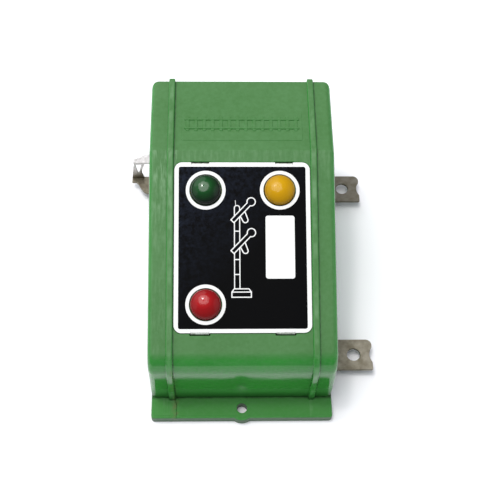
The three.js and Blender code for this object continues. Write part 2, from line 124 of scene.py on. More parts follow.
def flange_outline(inset=0.0):
    """The foot's outline: a rounded rectangle with a boss bulging from its front and rear edges."""
    edge = HALF_DEPTH + FLANGE_DEPTH - inset
    radius = BOSS_RADIUS - inset
    start = math.degrees(math.asin((edge - FIXING_Y) / radius))
    corner = max(FLANGE_CORNER - inset, 0.05)
    side = SIDE_X - inset - corner
    right = [(side + px, py) for px, py in arc(0, -(edge - corner), corner, -90, 0, 6)]
    right += [(side + px, py) for px, py in arc(0, edge - corner, corner, 0, 90, 6)]
    rear = arc(0, FIXING_Y, radius, start, 180 - start, 24)
    left = [(-px, -py) for px, py in right]
    front = [(-px, -py) for px, py in rear]
    return right + rear + left + front


def side_outline(offset, floor, rear_offset=None):
    """The body's side outline in (y, z), moved outwards: up the front, over the panel and down the rear."""
    half_turn = math.pi / 4 - SLOPE / 2
    front, top = -HALF_DEPTH - offset, TOP_Z + offset
    rear = HALF_DEPTH + (offset if rear_offset is None else rear_offset)
    front_r = FRONT_RADIUS + offset
    rear_r = max(REAR_RADIUS + offset, 0.3)
    crease_r = max(CREASE_RADIUS + offset, 0.15)
    edge_z = FRONT_HEIGHT + offset * math.tan(half_turn)
    crease_y = CREASE_Y - offset * math.tan(SLOPE / 2) + crease_r * math.tan(SLOPE / 2)
    slope = math.degrees(SLOPE)
    return ([(front, floor)]
            + arc(front + front_r, edge_z - front_r * math.tan(half_turn), front_r, 180, 90 + slope, 20)
            + arc(crease_y, top - crease_r, crease_r, 90 + slope, 90, 5)
            + arc(rear - rear_r, top - rear_r, rear_r, 90, 0, 10)
            + [(rear, floor)])


def cross_section():
    """(x, offset, rear offset) from side to side: round edges, and ribs with round tops and filleted feet."""
    foot, crown = 0.12, 0.3
    inner, outer = RIB_X - RIB_WIDTH / 2, RIB_X + RIB_WIDTH / 2
    steps = 5
    turns = [math.pi / 2 * i / steps for i in range(steps + 1)]
    half = [(inner - foot + foot * math.sin(a), foot * (1 - math.cos(a))) for a in turns]
    half += [(inner + crown * (1 - math.cos(a)), RIB_HEIGHT - crown * (1 - math.sin(a))) for a in turns]
    half += [(outer - crown * (1 - math.cos(a)), RIB_HEIGHT - crown * (1 - math.sin(a)))
             for a in reversed(turns)]
    half += [(outer + foot - foot * math.sin(a), foot * (1 - math.cos(a))) for a in reversed(turns)]
    half = [(x, offset, offset) for x, offset in half]
    edge_steps = 14
    for i in range(edge_steps + 1):
        a = math.pi / 2 * i / edge_steps
        x = SIDE_X - CORNER_RADIUS * (1 - math.sin(a))
        past = max(x - SIDE_X + SIDE_RADIUS, 0)
        inset = SIDE_RADIUS - math.sqrt(max(SIDE_RADIUS ** 2 - past ** 2, 0))
        half.append((x, -inset, -CORNER_RADIUS * (1 - math.cos(a))))
    return [(-x, *offsets) for x, *offsets in reversed(half)] + half


def ribbon(points, width, closed=False):
    """The outline of a line with a width: one loop if it is open, an outer and an inner one if closed."""
    line = [Vector(p) for p in points]
    count = len(line)
    sides = ([], [])
    for i, point in enumerate(line):
        before = line[i - 1] if closed or i else None
        after = line[(i + 1) % count] if closed or i + 1 < count else None
        runs = [(point - before).normalized()] if before is not None else []
        runs += [(after - point).normalized()] if after is not None else []
        normals = [Vector((-run.y, run.x)) for run in runs]
        mitre = sum(normals, Vector((0, 0))).normalized()
        reach = width / 2 / max(mitre.dot(normals[0]), 0.5)
        sides[0].append(tuple(point + mitre * reach))
        sides[1].append(tuple(point - mitre * reach))
    if closed:
        return sides
    return (sides[0] + sides[1][::-1],)


# ---- Solids ----

def solid(points, faces):
    """A closed mesh with its faces pointing out."""
    mesh = bpy.data.meshes.new("solid")
    mesh.from_pydata([tuple(p) for p in points], [], faces)
    shell = bmesh.new()
    shell.from_mesh(mesh)
    bmesh.ops.recalc_face_normals(shell, faces=shell.faces)
    shell.to_mesh(mesh)
    shell.free()
    obj = bpy.data.objects.new("solid", mesh)
    scene.collection.objects.link(obj)
    return obj


def loft(rings):
    """A skin through equal rings of points, with flat ends."""
    count = len(rings[0])
    total = count * len(rings)
    faces = [tuple(range(count)), tuple(range(total - count, total))]
    for start in range(0, total - count, count):
        for i in range(count):
            a, b = start + i, start + (i + 1) % count
            faces.append((a, b, b + count, a + count))
    return solid([p for ring in rings for p in ring], faces)


def stack(outline, levels):
    """A solid built up in z: the outline's points for an inset, at each (inset, z)."""
    return loft([[(x, y, z) for x, y in outline(inset)] for inset, z in levels])


def eased(low, high, radius):
    """Levels for stack with the top edge rounded."""
    turns = [math.pi / 2 * i / 4 for i in range(5)]
    return [(0, low)] + [(radius * (1 - math.cos(a)), high - radius * (1 - math.sin(a))) for a in turns]


def flared(low, surface, radius):
    """Levels for a cutter that leaves a rounded edge where it meets the surface."""
    turns = [math.pi / 2 * i / 4 for i in range(5)]
    return ([(0, low)]
            + [(-radius * (1 - math.cos(a)), surface - radius * (1 - math.sin(a))) for a in turns]
            + [(-radius, surface + 1)])


def prism(loops, low, high):
    """An outline with holes, from low to high."""
    flat = [p for loop in loops for p in loop]
    count = len(flat)
    points = [(x, y, low) for x, y in flat] + [(x, y, high) for x, y in flat]
    if len(loops) == 1:
        caps = [tuple(range(count))]
    else:
        outlines = [[Vector((x, y, 0)) for x, y in loop] for loop in loops]
        caps = [tuple(triangle) for triangle in tessellate_polygon(outlines)]
    faces = caps + [tuple(i + count for i in reversed(cap)) for cap in caps]
    start = 0
    for loop in loops:
        size = len(loop)
        for i in range(size):
            a, b = start + i, start + (i + 1) % size
            faces.append((a, b, b + count, a + count))
        start += size
    return solid(points, faces)


def block(x0, x1, y0, y1, z0, z1):
    return prism([[(x0, y0), (x1, y0), (x1, y1), (x0, y1)]], z0, z1)


def turned(profile, segments=48):
    """A body of revolution about z from (radius, z) points that start and end on the axis."""
    points, rows = [], []
    for radius, z in profile:
        row = circle(0, 0, radius, segments)() if radius > 0 else [(0, 0)]
        rows.append(range(len(points), len(points) + len(row)))
        points += [(x, y, z) for x, y in row]
    faces = []
    for lower, upper in zip(rows, rows[1:]):
        for i in range(segments):
            j = (i + 1) % segments
            corners = [lower[i % len(lower)], lower[j % len(lower)],
                       upper[j % len(upper)], upper[i % len(upper)]]
            faces.append(tuple(dict.fromkeys(corners)))
    return solid(points, [face for face in faces if len(face) > 2])


def tube(path, radius, sides=12):
    """A round wire along a list of points, with flat ends."""
    rings = []
    for i, point in enumerate(path):
        run = (path[min(i + 1, len(path) - 1)] - path[max(i - 1, 0)]).normalized()
        side = run.cross(Vector((0, 0, 1))).normalized()
        up = side.cross(run)
        rings.append([point + side * x + up * y for x, y in circle(0, 0, radius, sides)()])
    return loft(rings)


def moved(obj, matrix):
    obj.data.transform(matrix)
    return obj


def shifted(obj, x, y, z=0):
    return moved(obj, Matrix.Translation((x, y, z)))


def upright(obj):
    """Turns a solid drawn in (y, z) along x into the part's frame."""
    return moved(obj, Matrix(((0, 0, 1, 0), (1, 0, 0, 0), (0, 1, 0, 0), (0, 0, 0, 1))))


def facing_rear(obj):
    """Turns a solid drawn in (x, z) along y into the part's frame."""
    return moved(obj, Matrix(((1, 0, 0, 0), (0, 0, 1, 0), (0, 1, 0, 0), (0, 0, 0, 1))))


def apply_modifiers(obj):
    graph = bpy.context.evaluated_depsgraph_get()
    mesh = bpy.data.meshes.new_from_object(obj.evaluated_get(graph))
    obj.modifiers.clear()
    old = obj.data
    obj.data = mesh
    bpy.data.meshes.remove(old)


def combine(target, tools, operation):
    """Joins the tools to a solid, cuts them from it, or keeps what it shares with them, and removes them."""
    for tool in tools:
        modifier = target.modifiers.new("combine", "BOOLEAN")
        modifier.operation = operation
        modifier.solver = "EXACT"
        modifier.object = tool
    apply_modifiers(target)
    for tool in tools:
        bpy.data.objects.remove(tool)
    return target


def join(target, tools):
    return combine(target, tools, "UNION")


def cut(target, tools):
    return combine(target, tools, "DIFFERENCE")


def smooth_edges(obj, edge, angle):
    """Rounds a solid's sharp edges by so many millimetres, where that isn't 0, and weights its normals."""
    if edge:
        bevel = obj.modifiers.new("edges", "BEVEL")
        bevel.width = edge * MM
        bevel.segments = 2
        bevel.limit_method = "ANGLE"
        bevel.angle_limit = math.radians(angle)
        bevel.use_clamp_overlap = True
    normals = obj.modifiers.new("normals", "WEIGHTED_NORMAL")
    normals.keep_sharp = True


def piece(obj, name, material, body="root", stands_for=(), edge=0.0, angle=35):
    """Turns a solid into a finished piece that rides on a body."""
    obj.name = obj.data.name = name
    obj.data.transform(Matrix.Scale(MM, 4))
    obj.data.materials.append(material)
    obj.data.polygons.foreach_set("use_smooth", [True] * len(obj.data.polygons))
    obj.data.set_sharp_from_angle(angle=math.radians(angle))
    smooth_edges(obj, edge, angle)
    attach(obj, body)
    if stands_for:
        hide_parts(*stands_for)
    return obj


# ---- Materials ----

class Nodes:
    """A material's node tree, where an input takes a number, a colour or another node's output."""

    def __init__(self, name, **sockets):
        self.material = bpy.data.materials.new(name)
        self.material.use_nodes = True
        self.tree = self.material.node_tree
        self.shader = self.tree.nodes["Principled BSDF"]
        coordinates = self.add("TexCoord").outputs["Object"]
        self.place = self.add("VectorMath", {0: coordinates, 3: 1 / MM}, operation="SCALE").outputs[0]
        self.set(**sockets)

    def set(self, **sockets):
        for name, value in sockets.items():
            self.feed(self.shader.inputs[name.replace("_", " ")], value)

    def feed(self, socket, value):
        if isinstance(value, bpy.types.NodeSocket):
            self.tree.links.new(value, socket)
        elif isinstance(value, tuple) and len(value) == 3 and socket.type == "RGBA":
            socket.default_value = (*value, 1)
        else:
            socket.default_value = value

    def add(self, kind, inputs=None, **settings):
        node = self.tree.nodes.new("ShaderNode" + kind)
        for name, value in settings.items():
            setattr(node, name, value)
        for name, value in (inputs or {}).items():
            self.feed(node.inputs[name], value)
        return node

    def noise(self, scale, detail=3.0, stretch=(1, 1, 1), rough=0.5):
        """Noise with about `scale` features a millimetre."""
        size = self.add("Mapping", {"Vector": self.place, "Scale": stretch}).outputs[0]
        inputs = {"Vector": size, "Scale": scale, "Detail": detail, "Roughness": rough}
        return self.add("TexNoise", inputs).outputs[0]

    def ramp(self, value, low, high):
        """0 at low and 1 at high."""
        return self.add("MapRange", {"Value": value, "From Min": low, "From Max": high}).outputs[0]

    def math(self, operation, a, b=0.0):
        return self.add("Math", {0: a, 1: b}, operation=operation).outputs[0]

    def chain(self, operation, values):
        """One operation all along a list of values, from the first to the last."""
        result = values[0]
        for value in values[1:]:
            result = self.math(operation, result, value)
        return result

    def product(self, *values):
        return self.chain("MULTIPLY", values)

    def total(self, *values):
        return self.chain("ADD", values)

    def largest(self, *values):
        return self.chain("MAXIMUM", values)

    def mix(self, factor, a, b):
        return self.add("Mix", {0: factor, 6: a, 7: b}, data_type="RGBA").outputs[2]

    def bump(self, height, distance, normal=None):
        """Relief from a height; the distance is in millimetres where it is a number."""
        depth = distance if isinstance(distance, bpy.types.NodeSocket) else distance * MM
        inputs = {"Height": height, "Distance": depth, "Strength": 1.0}
        if normal is not None:
            inputs["Normal"] = normal
        return self.add("Bump", inputs).outputs[0]

    def axes(self):
        parts = self.add("SeparateXYZ", {0: self.place}).outputs
        return parts[0], parts[1], parts[2]

    def near(self, value, centre, half_width, fade):
        """1 within half_width of the centre, fading to 0."""
        away = self.math("ABSOLUTE", self.math("SUBTRACT", value, centre))
        return self.ramp(away, half_width + fade, half_width)

    def band(self, value, low, high, fade):
        return self.near(value, (low + high) / 2, (high - low) / 2, fade)


def housing_plastic():
    """Glossy green moulded plastic: dustier where it faces up, scuffed and rubbed pale along the ribs."""
    n = Nodes("housing_green", IOR=1.55)
    x, y, z = n.axes()
    facing = n.add("SeparateXYZ", {0: n.add("NewGeometry").outputs["Normal"]}).outputs[2]
    upward = n.ramp(facing, 0.70, 0.95)
    cloud = n.ramp(n.noise(0.09, 3), 0.35, 0.65)
    speckle = n.ramp(n.noise(1.1, 4), 0.35, 0.7)
    clean = n.mix(cloud, (0.016, 0.185, 0.017), (0.021, 0.212, 0.022))
    dusty = n.mix(cloud, (0.032, 0.138, 0.023), (0.040, 0.150, 0.031))
    # Painted light: the flange's upward faces get a brighter green than the dusty top, to make up for the
    # shade the body casts on them
    above_flange = n.ramp(z, 2.8, 4.0)
    colour = n.mix(upward, clean, n.mix(above_flange, (0.042, 0.200, 0.036), dusty))
    colour = n.mix(n.product(speckle, 0.22), colour, (0.085, 0.235, 0.085))
    # Fine scuffs that run down the panel: faint below the crease, stronger at the left rib and left of it
    streaks = n.ramp(n.noise(1.0, 5, (1.5, 0.22, 0.22), 0.6), 0.46, 0.66)
    on_slope = n.ramp(y, CREASE_Y + 0.4, CREASE_Y)
    below_crease = n.product(n.ramp(y, 2, 13), on_slope)
    left_strip = n.product(n.ramp(x, -16, -18), on_slope, n.largest(n.ramp(y, -16, 6), 0.25))
    by_left_rib = n.product(n.near(x, -RIB_X, 1.2, 1.5), n.ramp(y, -6, 8), on_slope)
    wear = n.largest(n.product(below_crease, 0.25), n.product(left_strip, 0.8), by_left_rib)
    worn = n.product(streaks, wear)
    colour = n.mix(n.product(worn, upward, 0.75), colour, (0.200, 0.350, 0.190))
    # The ribs' crowns are rubbed pale in patches
    crown = n.near(n.math("ABSOLUTE", x), RIB_X, 0.30, 0.25)
    patches = n.ramp(n.noise(0.35, 4, (1, 0.6, 0.6)), 0.45, 0.70)
    colour = n.mix(n.product(crown, patches, 0.45), colour, (0.180, 0.340, 0.170))
    # Painted shadow along the ribs' right sides, a little dirt along their left sides, and painted shade with
    # dirt in the angle of the flange
    rib_shadow_lines = [n.near(x, 0.88 + rib, 0.05, 0.20) for rib in (-RIB_X, RIB_X)]
    left_sides = [n.near(x, -0.86 + rib, 0.0, 0.16) for rib in (-RIB_X, RIB_X)]
    rib_shadow_and_dirt = n.largest(*rib_shadow_lines, n.product(n.largest(*left_sides), 0.25))
    rib_shadow_and_dirt = n.product(rib_shadow_and_dirt, n.ramp(z, 2.5, 2.7))
    reach = n.math("SUBTRACT", n.math("ABSOLUTE", y), HALF_DEPTH)
    # Painted shade with dirt where the walls meet the flange
    angle = n.product(n.ramp(z, 3.1, 2.5), n.ramp(reach, 0.55, 0.0))
    shade_and_dirt = n.product(n.largest(rib_shadow_and_dirt, angle), n.ramp(n.noise(0.5, 4), 0.2, 0.6))
    colour = n.mix(n.product(shade_and_dirt, 0.8), colour, (0.012, 0.045, 0.010))
    # Painted shade, with some dirt: the walls darken towards the flange
    low_wall_shade_and_dirt = n.product(n.ramp(z, 6.5, 2.8), n.ramp(facing, 0.5, 0.2))
    colour = n.mix(n.product(low_wall_shade_and_dirt, 0.9), colour, (0.006, 0.060, 0.006))
    # A brown stain round the crack at the left rib's foot
    by_crack = n.product(n.near(x, -16.2, 0.3, 0.9), n.band(reach, 0.4, 5.6, 0.5), n.ramp(y, -30, -34))
    stain = n.product(by_crack, n.ramp(n.noise(0.9, 5), 0.42, 0.7))
    colour = n.mix(n.product(stain, 0.6), colour, (0.150, 0.130, 0.060))
    rough = n.total(0.06, n.product(n.noise(0.6, 5), 0.08), n.product(upward, 0.60),
                    n.product(n.ramp(z, 10.0, 7.0), 0.28), n.product(worn, 0.10))
    waves = n.bump(n.noise(0.10, 2), 0.10)
    scratches = n.bump(n.noise(2.2, 5, (2.0, 0.3, 0.3), 0.65), n.product(upward, 0.007 * MM), waves)
    grain = n.bump(n.noise(5.0, 3), n.product(upward, 0.005 * MM), scratches)
    n.set(Base_Color=colour, Roughness=rough, Normal=grain)
    return n.material


def label_white():
    """White paint on sheet metal, greyed a little, with bare metal where the tongues bend down."""
    n = Nodes("label_white", Specular_IOR_Level=0.3)
    x, y, z = n.axes()
    grime = n.ramp(n.noise(0.5, 5), 0.55, 0.85)
    colour = n.mix(n.product(grime, 0.25), (0.80, 0.80, 0.79), (0.60, 0.62, 0.56))
    height = n.math("SUBTRACT", n.product(z, math.cos(SLOPE)),
                    n.product(n.total(y, HALF_DEPTH), math.sin(SLOPE)))
    depth = n.math("SUBTRACT", height, FRONT_HEIGHT * math.cos(SLOPE))
    at_tongue = n.near(n.math("ABSOLUTE", x), TONGUE_X, TONGUE_WIDTH / 2, 0.1)
    bare = n.product(n.ramp(depth, 0.17, 0.10), at_tongue)
    worn_metal = n.mix(n.ramp(n.noise(1.6, 4), 0.35, 0.65), (0.70, 0.71, 0.68), (0.36, 0.36, 0.32))
    n.set(Base_Color=n.mix(bare, colour, worn_metal))
    n.set(Roughness=n.ramp(n.noise(1.5, 3), -1.0, 2.0), Metallic=n.product(bare, 0.25))
    n.set(Normal=n.bump(n.noise(2.5, 4), 0.006))
    return n.material


def label_black():
    """Black print: matt, with bluish dust that thickens towards the upper left."""
    n = Nodes("label_black", Specular_IOR_Level=0.02)
    x, y, _ = n.axes()
    corner = n.ramp(n.math("SUBTRACT", y, x), -12, 30)
    dust = n.product(n.ramp(n.noise(0.9, 6, rough=0.75), 0.40, 0.72), corner)
    colour = n.mix(dust, (0.0028, 0.0028, 0.0032), (0.020, 0.026, 0.044))
    specks = n.ramp(n.noise(6.0, 2), 0.72, 0.80)
    colour = n.mix(n.product(specks, 0.25), colour, (0.09, 0.10, 0.11))
    n.set(Base_Color=colour, Roughness=n.total(0.42, n.product(n.noise(1.5, 4), 0.2)))
    n.set(Normal=n.bump(n.noise(4.0, 4), 0.004))
    return n.material


def button_plastic(name, centre, deep, bright, gloss, shade_and_dirt):
    """Polished moulded plastic with a painted highlight, a brighter crown set towards the upper left, and
    painted shade with some grime darkening the rim, most on the low right side.
    """
    n = Nodes(name, IOR=1.5)
    x, y, _ = n.axes()
    # The painted highlight is centred up the slope and to the left of the button's axis, towards the light
    middle = PANEL @ Vector((centre[0] - 0.45, centre[1] + 0.55, 1.5))
    across = n.math("POWER", n.math("SUBTRACT", x, middle.x), 2.0)
    along = n.math("POWER", n.math("DIVIDE", n.math("SUBTRACT", y, middle.y), math.cos(SLOPE)), 2.0)
    radius = n.math("SQRT", n.total(across, along))
    # rim: painted shade with some grime, growing outwards; crown: painted highlight, growing inwards
    rim = n.ramp(n.total(radius, n.product(n.noise(0.8, 3), 0.3)), 1.8, 3.8)
    crown = n.ramp(n.total(radius, n.product(n.noise(0.9, 3), 0.6)), 2.4, 0.6)
    # The colour of the painted rim shade
    dark = tuple(value * 0.08 for value in deep)
    n.set(Base_Color=n.mix(n.product(rim, shade_and_dirt), n.mix(crown, deep, bright), dark))
    rough = n.total(0.07, n.product(n.noise(1.2, 5), 0.08), n.product(rim, 0.12))
    n.set(Roughness=rough, Specular_IOR_Level=gloss)
    ripples = n.bump(n.noise(0.55, 2), 0.05)
    n.set(Normal=n.bump(n.noise(4.0, 4, (2, 0.6, 1)), 0.004, ripples))
    return n.material


def metal(name, bright, dull, roughness, grain=(1, 1, 1)):
    """Stamped or drawn metal with blotches of tarnish and fine rolling marks."""
    n = Nodes(name, Metallic=1.0)
    blotches = n.ramp(n.noise(0.45, 5, rough=0.6), 0.35, 0.65)
    marks = n.noise(3.0, 4, grain)
    n.set(Base_Color=n.mix(blotches, bright, dull))
    n.set(Roughness=n.total(roughness, n.product(n.total(blotches, marks), 0.12)))
    n.set(Normal=n.bump(marks, 0.010, n.bump(n.noise(0.6, 3), 0.03)))
    return n.material


def clip_metal():
    """Nickel plate with brown tarnish towards the blade, and paler nickel higher up as painted reflection of
    the light on the roof.
    """
    n = Nodes("clip_nickel", Metallic=1.0)
    _, _, z = n.axes()
    blotches = n.ramp(n.noise(0.8, 5, rough=0.6), 0.35, 0.65)
    bright = n.mix(blotches, (0.66, 0.64, 0.64), (0.34, 0.32, 0.31))
    brown = n.mix(blotches, (0.22, 0.195, 0.150), (0.150, 0.130, 0.095))
    # Paler with height: painted reflection on the roof, over real brown tarnish low down
    n.set(Base_Color=n.mix(n.ramp(z, 4.0, 8.5), brown, bright))
    marks = n.noise(3.0, 4)
    n.set(Roughness=n.total(0.30, n.product(marks, 0.2)))
    n.set(Normal=n.bump(marks, 0.015, n.bump(n.noise(0.7, 3), 0.06)))
    return n.material


def matt_plastic(name, dark, pale, roughness):
    """Dull moulded plastic with a fine pebbled surface."""
    n = Nodes(name, IOR=1.45)
    n.set(Base_Color=n.mix(n.ramp(n.noise(0.25, 5), 0.3, 0.7), dark, pale))
    n.set(Roughness=n.total(roughness, n.product(n.noise(1.5, 4), 0.15)))
    n.set(Normal=n.bump(n.noise(3.5, 3), 0.02))
    return n.material


def phenolic_board():
    """Brown laminated board with long paper fibres."""
    n = Nodes("board_brown", IOR=1.5)
    fibres = n.noise(0.9, 6, (1, 0.12, 1), 0.65)
    n.set(Base_Color=n.mix(n.ramp(fibres, 0.3, 0.7), (0.11, 0.045, 0.016), (0.21, 0.095, 0.035)))
    n.set(Roughness=n.total(0.35, n.product(fibres, 0.25)))
    n.set(Normal=n.bump(fibres, 0.02))
    return n.material


GREEN = housing_plastic()
LABEL_WHITE = label_white()
LABEL_BLACK = label_black()
NICKEL = {
    "front": metal("nickel_front", (0.265, 0.243, 0.200), (0.172, 0.152, 0.113), 0.38),
    "rear": metal("nickel_rear", (0.200, 0.183, 0.153), (0.128, 0.112, 0.083), 0.38),
}
CLIP_NICKEL = clip_metal()
BRASS = metal("brass", (0.72, 0.50, 0.22), (0.42, 0.27, 0.11), 0.26, grain=(0.3, 2, 2))
STEEL = metal("steel", (0.52, 0.52, 0.51), (0.34, 0.33, 0.31), 0.24)
BASE = matt_plastic("base_black", (0.016, 0.016, 0.015), (0.030, 0.030, 0.028), 0.45)
BOARD = phenolic_board()
BUTTON_COLOURS = {  # deep colour, bright colour of the painted highlight, gloss, strength of the painted rim shade and grime
    "green": ((0.003, 0.050, 0.007), (0.008, 0.078, 0.016), 0.32, 0.97),
    "yellow": ((0.49, 0.255, 0.002), (0.55, 0.300, 0.006), 0.18, 0.22),
    "red": ((0.28, 0.003, 0.005), (0.38, 0.010, 0.012), 0.26, 0.40),
}


# ---- Camera, light and floor ----

def set_camera():
    """A long lens above and in front, turned a little to the right."""
    elevation, yaw, roll = math.radians(60.59), math.radians(3.32), math.radians(2.81)
    position = Vector((-4.897, -123.036, 233.296)) * MM
    level = math.cos(elevation)
    forward = Vector((math.sin(yaw) * level, math.cos(yaw) * level, -math.sin(elevation)))
    right = Vector((math.cos(yaw), -math.sin(yaw), 0))
    up = right.cross(forward)
    tilted_right = right * math.cos(roll) + up * math.sin(roll)
    tilted_up = up * math.cos(roll) - right * math.sin(roll)
    data = bpy.data.cameras.new("camera")
    data.sensor_width = 36
    data.lens = 72
    data.clip_start = 0.01
    camera = bpy.data.objects.new("camera", data)
    axes = Matrix((tilted_right, tilted_up, -forward)).transposed()
    camera.matrix_world = Matrix.Translation(position) @ axes.to_4x4()
    scene.collection.objects.link(camera)
    scene.camera = camera


def add_softbox(name, target, direction, distance, size, radiance, colour):
    """A round lamp that faces the target, with the same radiance all over."""
    data = bpy.data.lights.new(name, "AREA")
    data.shape = "DISK"
    data.size = size
    data.energy = radiance * math.pi * math.pi * size * size / 4
    data.color = colour
    lamp = bpy.data.objects.new(name, data)
    away = Vector(direction).normalized()
    lamp.location = Vector(target) + away * distance
    lamp.rotation_euler = away.to_track_quat("Z", "Y").to_euler()
    scene.collection.objects.link(lamp)


def set_stage():
    half = 3000
    floor = prism([rounded(-half, half, -half, half, 10)()], -20, -0.02)
    floor.name = "floor"
    floor.data.transform(Matrix.Scale(MM, 4))
    paper = Nodes("floor_paper", Specular_IOR_Level=0.1, Roughness=0.8)
    paper.set(Base_Color=paper.mix(paper.noise(0.02, 2), (0.93, 0.92, 0.95), (0.95, 0.94, 0.97)))
    floor.data.materials.append(paper.material)
    world = bpy.data.worlds.new("studio")
    world.use_nodes = True
    sky = world.node_tree.nodes["Background"].inputs
    sky["Color"].default_value = (0.88, 0.94, 1.0, 1)
    sky["Strength"].default_value = 0.42
    scene.world = world
    scene.view_settings.view_transform = "Standard"
    middle = (0, 0, 0.02)
    add_softbox("overhead_softbox", middle, (-0.17, 0.02, 1.0), 0.8, 0.56, 5.4, (1.0, 0.985, 0.965))
    add_softbox("overhead_lamp", middle, (-0.22, 0.08, 1.0), 0.74, 0.08, 55.0, (1.0, 0.99, 0.97))
    add_softbox("rear_left_softbox", middle, (-0.50, 0.62, 0.75), 1.2, 1.24, 1.5, (0.98, 0.99, 1.0))
    add_softbox("left_softbox", middle, (-0.95, -0.10, 0.60), 1.2, 1.13, 0.7, (0.97, 0.99, 1.0))
    add_softbox("right_softbox", middle, (0.90, -0.15, 0.55), 1.2, 1.24, 0.5, (0.94, 0.97, 1.0))


# ---- Housing ----

def on_panel(obj):
    return moved(obj, PANEL)


def raised_track():
    """A plain relief on the rear top: two rails on sleepers, on a field that stands a hair proud."""
    centre, half_length, half_width = 21.3, 13.8, 2.1
    sunk = TOP_Z - 0.5
    field = stack(rounded(-14.4, 14.5, 16.5, 25.4, 0.4, 4), eased(sunk, TOP_Z + 0.07, 0.04))
    rails = [rounded(-half_length, half_length, y - 0.25, y + 0.25, 0.12, 3)
             for y in (centre - 1.3, centre + 1.3)]
    bars = [stack(outline, eased(sunk, TOP_Z + 0.3, 0.1)) for outline in rails]
    sleepers, pitch = 14, 2
    for i in range(sleepers):
        x = (i - (sleepers - 1) / 2) * pitch
        outline = rounded(x - 0.4, x + 0.4, centre - half_width, centre + half_width, 0.15, 3)
        bars.append(stack(outline, eased(sunk, TOP_Z + 0.2, 0.1)))
    return [field, *bars]


def panel_cutters():
    room = 0.15
    recess = rounded(-PLATE_X - room, PLATE_X + room, PLATE_LOW - room, PLATE_HIGH + room,
                     PLATE_CORNER + room)
    cutters = [stack(recess, flared(-0.5, 0, 0.10))]
    cutters += [stack(circle(x, y, BUTTON_HOLE_RADIUS), [(0, -6), (0, 2)]) for x, y in BUTTONS.values()]
    half = TONGUE_WIDTH / 2 + GAP
    for x in (-TONGUE_X, TONGUE_X):
        for edge, reach in TONGUE_EDGES:
            low, high = sorted((edge - reach * 0.9, edge + reach * 0.25))
            cutters.append(stack(rounded(x - half, x + half, low, high, 0.2, 4), flared(-4, 0, 0.08)))
    return [on_panel(cutter) for cutter in cutters]


def wall_cutters():
    low, high = TAB_BOTTOM - GAP, TAB_BOTTOM + TAB_THICKNESS + GAP
    half = TAB_WIDTH / 2 + GAP
    cutters = [block(-SIDE_X - 2, SIDE_X + 2, y - half, y + half, low, high) for y in BAR_Y.values()]
    middle, room = OUTPUT_Z + JOGGLE, STRIP_THICKNESS / 2 + GAP
    half = STRIP_WIDTH / 2 + GAP
    cutters += [block(x - half, x + half, HALF_DEPTH - 4, HALF_DEPTH + 2, middle - room, middle + room)
                for x in OUTPUT_X]
    return cutters


def crack():
    """A hairline crack that wanders across the front flange from the left rib's foot."""
    line = [(-16.15, -34.9), (-16.1, -35.6), (-15.85, -36.4), (-15.95, -37.3), (-15.8, -38.2),
            (-15.95, -39.1), (-15.85, -40.2)]
    return prism([ribbon(line, 0.13)[0]], FLANGE_HEIGHT - 0.5, FLANGE_HEIGHT + 1)


def build_housing():
    floor = -1.0
    body = loft([[(x, y, z) for y, z in side_outline(offset, floor, rear)]
                 for x, offset, rear in cross_section()])
    ledge = FLANGE_HEIGHT - 0.12
    edge_levels = [(0, floor), (0, 2.0), (0.05, 2.2), (0.2, ledge), (0.55, ledge),
                   (0.62, FLANGE_HEIGHT - 0.03), (0.7, FLANGE_HEIGHT)]
    foot = stack(flange_outline, edge_levels)
    inside = SIDE_X - WALL
    cavity = loft([[(x, y, z) for y, z in side_outline(-WALL, -2.0)] for x in (-inside, inside)])
    join(body, [foot])
    cut(body, [cavity])
    corners = []
    for x, y in BASE_SCREWS:
        xs = sorted(math.copysign(v, x) for v in (BLOCK_X, inside + 0.4))
        ys = sorted(math.copysign(v, y) for v in (BLOCK_Y, HALF_DEPTH - WALL + 0.4))
        corners.append(block(*xs, *ys, BASE_THICKNESS + GAP, BLOCK_TOP))
    posts = [on_panel(stack(circle(x, s, 2.2), [(0, BOARD_TOP + GAP), (0, -1)]))
             for x, s in BOARD_SCREWS.values()]
    join(body, corners + posts + raised_track())
    holes = [stack(circle(0, y, FIXING_RADIUS, 48), flared(-2, FLANGE_HEIGHT, 0.12))
             for y in (-FIXING_Y, FIXING_Y)]
    holes += [stack(circle(x, y, 1.0, 24), [(0, 0), (0, 8)]) for x, y in BASE_SCREWS]
    holes += [on_panel(stack(circle(x, s, 1.1, 24), [(0, BOARD_TOP), (0, -5)]))
              for x, s in BOARD_SCREWS.values()]
    cut(body, panel_cutters() + wall_cutters() + holes + [crack(), block(-50, 50, -60, 60, -20, 0)])
    piece(body, "housing_shell", GREEN, stands_for=["housing"], angle=32)


# ---- Label ----

def bent_tongue(x, edge, reach):
    """A strip that runs out of the plate and bends down over its edge."""
    mid = (PLATE_TOP + PLATE_BOTTOM) / 2
    half = (PLATE_TOP - PLATE_BOTTOM) / 2
    bend = 0.55
    centre = edge - reach * (half + bend)
    turn = [(centre + reach * bend * math.sin(a), mid - bend * (1 - math.cos(a)))
            for a in (math.pi / 2 * i / 6 for i in range(7))]
    line = [(edge - reach * 1.4, mid), *turn, (edge - reach * half, -TONGUE_REACH)]
    strip = prism([ribbon(line, PLATE_TOP - PLATE_BOTTOM)[0]], x - TONGUE_WIDTH / 2, x + TONGUE_WIDTH / 2)
    return upright(strip)


